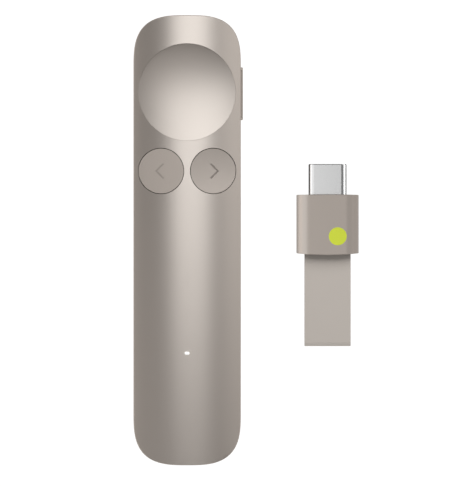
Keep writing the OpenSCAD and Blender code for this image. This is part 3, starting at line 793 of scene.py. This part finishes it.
def glowing_window():
    """The milky status window, lit from below."""
    material = finish("glowing_window", (0.9, 0.9, 0.88), 0.0, 0.25)
    shader = material.node_tree.nodes["Principled BSDF"]
    shader.inputs["Emission Color"].default_value = (1.0, 0.98, 0.95, 1)
    shader.inputs["Emission Strength"].default_value = 0.45
    return material


# ---------- receiver ----------


class CLICKER_OT_receiver_collar(bpy.types.Operator):
    """Model the metal collar of the receiver"""

    bl_idname = "clicker.receiver_collar"
    bl_label = "Receiver collar"

    def execute(self, context):
        sizes = context.scene.clicker_receiver
        width, height, deep = extent("receiver_collar")
        piece = rounded_plate("collar", width, height, height / 2, 24)
        raise_plate(piece, -deep / 2, deep / 2)
        for end in (-1, 1):
            pick(piece, "EDGE", at_height(end * deep / 2))
            round_edges(sizes.collar_softening, 4)
        wall = sizes.collar_wall
        core_top = deep / 2 - sizes.collar_end
        combine(piece, stadium_tool(width - 2 * wall, height - 2 * wall, -deep / 2 - MM, core_top))
        plug_width, plug_height, _ = extent("plug_shell")
        room = 2 * sizes.plug_gap
        combine(piece, stadium_tool(plug_width + room, plug_height + room, 0, deep))
        slice_across(piece, 0, -width / 2, width / 2, sizes.collar_step)
        for v in piece.data.vertices:
            crown = sizes.collar_front if v.co.z > 0 else -sizes.collar_back
            v.co.z -= crown * (2 * v.co.x / width) ** 2
        place(piece, middle("receiver_collar"), (-math.pi / 2, 0, 0))
        smooth(piece)
        finish_piece(piece, satin_metal(), "receiver", "receiver_collar", "receiver_collar")
        return {"FINISHED"}


class CLICKER_OT_collar_dot(bpy.types.Operator):
    """Model the plain printed dot on the collar"""

    bl_idname = "clicker.collar_dot"
    bl_label = "Collar dot"

    def execute(self, context):
        sizes = context.scene.clicker_receiver
        low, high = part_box("receiver_collar")
        ink = sizes.dot_ink
        # all but the ink's own thickness is sunk into the collar
        deep = 8 * ink
        start_clean()
        bpy.ops.mesh.primitive_cylinder_add(vertices=96, radius=sizes.dot_radius, depth=deep)
        piece = bpy.context.object
        piece.name = "collar_dot"
        edit(piece)
        pick(piece, "EDGE", at_height(deep / 2))
        round_edges(ink / 2, 2)
        across = (low.x + high.x) / 2 + sizes.dot_right
        place(piece, (across, low.y + sizes.dot_up, high.z + ink - deep / 2))
        smooth(piece)
        tones = context.scene.clicker_finishes
        lime = finish("lime_print", tones.dot, 0.0, 0.4, tone_change=0.04)
        finish_piece(piece, lime, "receiver", "receiver_collar")
        return {"FINISHED"}


class CLICKER_OT_plug(bpy.types.Operator):
    """Model the sheet-metal plug"""

    bl_idname = "clicker.plug"
    bl_label = "Plug"

    def execute(self, context):
        sizes = context.scene.clicker_receiver
        width, height, deep = extent("plug_shell")
        piece = stadium_tool(width, height, -deep / 2, deep / 2)
        piece.name = "plug"
        pick(piece, "EDGE", at_height(deep / 2))
        round_edges(sizes.plug_softening, 4)
        sheet = sizes.plug_sheet
        combine(piece, stadium_tool(width - 2 * sheet, height - 2 * sheet, -deep, deep))
        place(piece, middle("plug_shell"), (-math.pi / 2, 0, 0))
        smooth(piece)
        tones = context.scene.clicker_finishes
        steel = finish("plug_sheet_steel", tones.steel, 1.0, 0.22, tone_change=0.03, bump=0.01)
        finish_piece(piece, steel, "receiver", "plug_steel", "plug_shell")
        return {"FINISHED"}


class CLICKER_OT_pull_strap(bpy.types.Operator):
    """Model the strap, one ribbon folded double"""

    bl_idname = "clicker.pull_strap"
    bl_label = "Pull strap"

    def execute(self, context):
        sizes = context.scene.clicker_receiver
        width, stack, deep = extent("pull_strap")
        ribbon = sizes.strap_ribbon
        leg, turn = deep - stack / 2, (stack - ribbon) / 2
        piece = rounded_plate("strap", width, ribbon, sizes.strap_softening, 3)
        edit(piece)
        bpy.ops.transform.translate(value=(0, -turn, 0))
        bpy.ops.mesh.extrude_region_move(TRANSFORM_OT_translate={"value": (0, 0, leg)})
        bpy.ops.mesh.spin(steps=16, angle=math.pi, center=(0, 0, leg), axis=(1, 0, 0))
        bpy.ops.mesh.extrude_region_move(TRANSFORM_OT_translate={"value": (0, 0, -leg)})
        bpy.ops.mesh.select_all(action="SELECT")
        bpy.ops.mesh.normals_make_consistent(inside=False)
        centre, open_end = middle("pull_strap"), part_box("pull_strap")[1].y
        place(piece, (centre.x, open_end, centre.z), (math.pi / 2, 0, 0))
        smooth(piece)
        tone = context.scene.clicker_finishes.strap
        silicone = finish("strap_silicone", tone, 0.0, 0.55, tone_change=0.05, grain=9000.0, bump=0.08)
        finish_piece(piece, silicone, "receiver", "strap", "pull_strap")
        return {"FINISHED"}


# ---------- the parts that stay as they are ----------


class CLICKER_OT_inner_parts(bpy.types.Operator):
    """Give the liner, the port and the parts inside their finishes"""

    bl_idname = "clicker.inner_parts"
    bl_label = "Inner parts"

    def execute(self, context):
        tones = context.scene.clicker_finishes
        steel = finish("bright_steel", tones.steel, 1.0, 0.3)
        black = finish("moulded_black", tones.black, 0.0, 0.45, tone_change=0.2)
        pale = finish("moulded_pale", (0.72, 0.7, 0.64), 0.0, 0.5)
        finishes = {
            "satin_shell": satin_metal(),
            "back_shell": satin_metal(),
            "satin_button": satin_metal(),
            "receiver_collar": satin_metal(),
            "steel": steel,
            "plug_steel": steel,
            "dark_plastic": finish("dark_liner", (0.05, 0.047, 0.045), 0.0, 0.5),
            "black_plastic": black,
            "pale_plastic": pale,
            "circuit_board": finish("solder_mask", tones.board, 0.0, 0.35, tone_change=0.15),
            "contact_gold": finish("plated_contact", tones.gold, 1.0, 0.28),
            "cell_pouch": finish("cell_foil", (0.5, 0.51, 0.53), 0.9, 0.35, grain=1500.0, bump=0.2),
            "tape": finish("amber_tape", (0.6, 0.4, 0.12), 0.0, 0.4),
            "foam": finish("dark_foam", (0.03, 0.03, 0.03), 0.0, 0.9, grain=3000.0, bump=0.5),
            "lead_sleeve": finish("red_sleeve", (0.5, 0.02, 0.02), 0.0, 0.4),
            "ceramic": finish("fired_ceramic", (0.55, 0.42, 0.28), 0.0, 0.5),
            "light_window": glowing_window(),
            "light_source": glowing_window(),
            "strap": pale,
        }
        for shape in frame["nodes"].values():
            if not shape.hide_render:
                slot = shape.data.materials[0].name
                shape.data.materials.clear()
                shape.data.materials.append(finishes[slot])
        return {"FINISHED"}


# ---------- stage ----------


class CLICKER_OT_stage(bpy.types.Operator):
    """Set the floor, the lights and the camera"""

    bl_idname = "clicker.stage"
    bl_label = "Stage"

    def execute(self, context):
        self.floor(context.scene.clicker_stage)
        self.world(context.scene)
        self.lights()
        self.camera(context.scene)
        context.scene.view_settings.view_transform = "Standard"
        return {"FINISHED"}

    def floor(self, settings):
        """A pale floor that glows as a light table does, and more dimly on the object."""
        start_clean()
        bpy.ops.mesh.primitive_plane_add(size=settings.floor_size, location=(0, 0, -settings.floor_gap))
        piece = bpy.context.object
        piece.name = "floor"
        place(piece, piece.location)
        material = finish("floor_paper", (0.3, 0.3, 0.3), 0.0, 0.9)
        nodes, links = material.node_tree.nodes, material.node_tree.links
        shader = nodes["Principled BSDF"]
        shader.inputs["Emission Color"].default_value = (1, 1, 1, 1)
        on_camera, on_object = 1.0, 0.6
        ray = nodes.new("ShaderNodeLightPath")
        glow = nodes.new("ShaderNodeMath")
        glow.operation = "MULTIPLY_ADD"
        glow.inputs[1].default_value = on_camera - on_object
        glow.inputs[2].default_value = on_object
        links.new(ray.outputs["Is Camera Ray"], glow.inputs[0])
        links.new(glow.outputs[0], shader.inputs["Emission Strength"])
        piece.data.materials.append(material)

    def world(self, scene):
        """An even surround that is brighter towards the horizon."""
        scene.world = bpy.data.worlds.new("surround")
        scene.world.use_nodes = True
        nodes, links = scene.world.node_tree.nodes, scene.world.node_tree.links
        direction = nodes.new("ShaderNodeTexCoord")
        parts = nodes.new("ShaderNodeSeparateXYZ")
        height = nodes.new("ShaderNodeMath")
        height.operation = "ABSOLUTE"
        fade = nodes.new("ShaderNodeMapRange")
        fade.interpolation_type = "SMOOTHSTEP"
        fade.inputs["From Min"].default_value = 0.0
        fade.inputs["From Max"].default_value = 0.6
        fade.inputs["To Min"].default_value = 0.4
        fade.inputs["To Max"].default_value = 0.25
        links.new(direction.outputs["Generated"], parts.inputs[0])
        links.new(parts.outputs["Z"], height.inputs[0])
        links.new(height.outputs[0], fade.inputs["Value"])
        links.new(fade.outputs[0], nodes["Background"].inputs["Strength"])
        nodes["Background"].inputs["Color"].default_value = (1, 1, 1, 1)

    def lights(self):
        """Soft panels round the object, each lighting only the groups of pieces that it names."""
        self.groups = {}
        for thing in bpy.context.scene.objects:
            if thing.type == "MESH":
                self.groups.setdefault(self.group_of(thing), []).append(thing)

        to_right, to_left, to_plug_end, to_strap_end = (1, 0, 0), (-1, 0, 0), (0, 1, 0), (0, -1, 0)
        clicker = "body dish previous next key"
        wall = (500, 250)
        self.panel("left_wall", clicker, (-350, 0, 110), wall, glow=1.0, facing=to_right)
        self.panel("right_wall", clicker, (350, 0, 110), wall, glow=0.6, facing=to_left)
        self.panel("far_wall", clicker, (0, 350, 110), wall, glow=1.0, facing=to_strap_end)
        self.panel("near_wall", clicker, (0, -350, 110), wall, glow=0.8, facing=to_plug_end)
        self.panel("main_panel", "body", (20, 60, 300), (190, 150), glow=2.4, cool=0.085)
        self.panel("left_panel", "body", (-225, -120, 300), (240, 280), glow=0.25, cool=0.04)
        self.panel("right_panel", "body", (310, 90, 300), (250, 230), glow=1.1, cool=0.04)
        self.panel("light_spill", "body", (0, -24.5, 12.8), (1.2, 0.8), glow=0.3, cool=0.04)
        self.panel("key_panel", "key", (0, 0, 300), (400, 400), glow=0.4, cool=0.02)
        self.panel("dish_panel", "dish", (-35, 280, 300), (190, 540), glow=2.15, cool=0.085)
        self.panel("dish_fill", "dish", (50, -15, 300), (180, 140), glow=0.25, cool=0.04)
        self.panel("previous_panel", "previous", (-20, 5, 300), (150, 240), glow=2.4, cool=0.03)
        self.panel("next_panel", "next", (60, -25, 110), (80, 75), glow=1.8, cool=0.05)
        self.panel("collar_panel", "collar", (15, 0, 300), (235, 400), glow=0.6, cool=0.02)
        self.panel("collar_card", "collar", (16.5, 0, 14), (120, 25), glow=0.95, cool=0.07, facing=to_right)
        self.panel("collar_far_card", "collar", (50, 0, 25), (120, 38), glow=0.4, cool=0.02, facing=to_left)
        self.panel("strap_panel", "strap", (30, 400, 300), (400, 540), glow=3.8)
        self.panel("strap_wall", "strap", (30, -350, 110), wall, glow=1.6, facing=to_plug_end)
        self.panel("plug_panel", "plug", (-100, 0, 300), (290, 400), glow=0.85)
        self.panel("plug_left_card", "plug", (16.5, 10, 10), (120, 11), glow=1.15, facing=to_right)
        self.panel("plug_right_card", "plug", (50, 10, 6.5), (120, 13), glow=2.1, facing=to_left)
        self.light_only(bpy.data.objects["floor"], set(self.groups) - {"plug", "floor"})

    def panel(self, name, groups, place, size, glow, cool=0.0, facing=(0, 0, -1)):
        """A soft panel, placed and sized in millimetres, with its brightness and its blue tinge."""
        light = bpy.data.lights.new(name, "AREA")
        light.shape = "RECTANGLE"
        green_share = 0.45
        light.color = (1 - cool, 1 - green_share * cool, 1)
        light.size, light.size_y = size[0] * MM, size[1] * MM
        light.energy = math.pi * light.size * light.size_y * glow
        panel = bpy.data.objects.new(name, light)
        panel.location = Vector(place) * MM
        panel.rotation_euler = Vector(facing).to_track_quat("-Z", "Y").to_euler()
        panel.visible_camera = False
        bpy.context.scene.collection.objects.link(panel)
        self.light_only(panel, groups.split())

    def light_only(self, source, groups):
        """Lets a light or a glowing piece light only the groups named."""
        collection = bpy.data.collections.new(source.name + "_lit")
        for group in sorted(groups):
            for thing in self.groups[group]:
                collection.objects.link(thing)
        source.light_linking.receiver_collection = collection

    def group_of(self, thing):
        """The group of pieces that a thing is lit with."""
        groups = {
            "floor": "floor",
            "side_key_button": "key",
            "pointer_dish": "dish",
            "previous_button": "previous",
            "next_button": "next",
            "collar": "collar",
            "collar_dot": "collar",
            "strap": "strap",
        }
        beside = thing.bound_box[0][0] > HALF_WIDTH
        return groups.get(thing.name, "plug" if beside else "body")

    def camera(self, scene):
        """A camera that looks straight down."""
        settings = scene.clicker_stage
        reach = settings.camera_height
        lens = bpy.data.cameras.new("camera")
        lens.lens = settings.picture_scale / settings.picture_height * lens.sensor_width * reach / MM
        lens.clip_start, lens.clip_end = 0.01, 10
        eye = bpy.data.objects.new("camera", lens)
        eye.location = Vector(settings.camera_aim) + Vector((0, 0, reach))
        scene.collection.objects.link(eye)
        scene.camera = eye


SETTINGS = {
    "clicker_housing": ClickerHousingSizes,
    "clicker_buttons": ClickerButtonSizes,
    "clicker_receiver": ClickerReceiverSizes,
    "clicker_finishes": ClickerFinishes,
    "clicker_stage": ClickerStageSettings,
}

STEPS = (
    CLICKER_OT_front_housing,
    CLICKER_OT_back_housing,
    CLICKER_OT_pointer_dish,
    CLICKER_OT_arrow_buttons,
    CLICKER_OT_side_key,
    CLICKER_OT_status_light,
    CLICKER_OT_receiver_collar,
    CLICKER_OT_collar_dot,
    CLICKER_OT_plug,
    CLICKER_OT_pull_strap,
    CLICKER_OT_inner_parts,
    CLICKER_OT_stage,
)


class CLICKER_PT_panel(bpy.types.Panel):
    """Lists the steps that dress the clicker."""

    bl_idname = "CLICKER_PT_panel"
    bl_label = "Presentation clicker"
    bl_space_type = "VIEW_3D"
    bl_region_type = "UI"
    bl_category = "Clicker"

    def draw(self, context):
        for settings in SETTINGS:
            box = self.layout.box()
            group = getattr(context.scene, settings)
            for name in group.bl_rna.properties.keys():
                if name not in ("rna_type", "name"):
                    box.prop(group, name)
        for step in STEPS:
            self.layout.operator(step.bl_idname)


def register():
    for name, group in SETTINGS.items():
        bpy.utils.register_class(group)
        setattr(bpy.types.Scene, name, bpy.props.PointerProperty(type=group))
    for step in STEPS:
        bpy.utils.register_class(step)
    bpy.utils.register_class(CLICKER_PT_panel)


def unregister():
    bpy.utils.unregister_class(CLICKER_PT_panel)
    for step in reversed(STEPS):
        bpy.utils.unregister_class(step)
    for name, group in SETTINGS.items():
        delattr(bpy.types.Scene, name)
        bpy.utils.unregister_class(group)


def main():
    """Registers the add-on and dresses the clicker."""
    register()
    for step in STEPS:
        family, name = step.bl_idname.split(".")
        getattr(getattr(bpy.ops, family), name)()


if __name__ == "__main__":
    main()
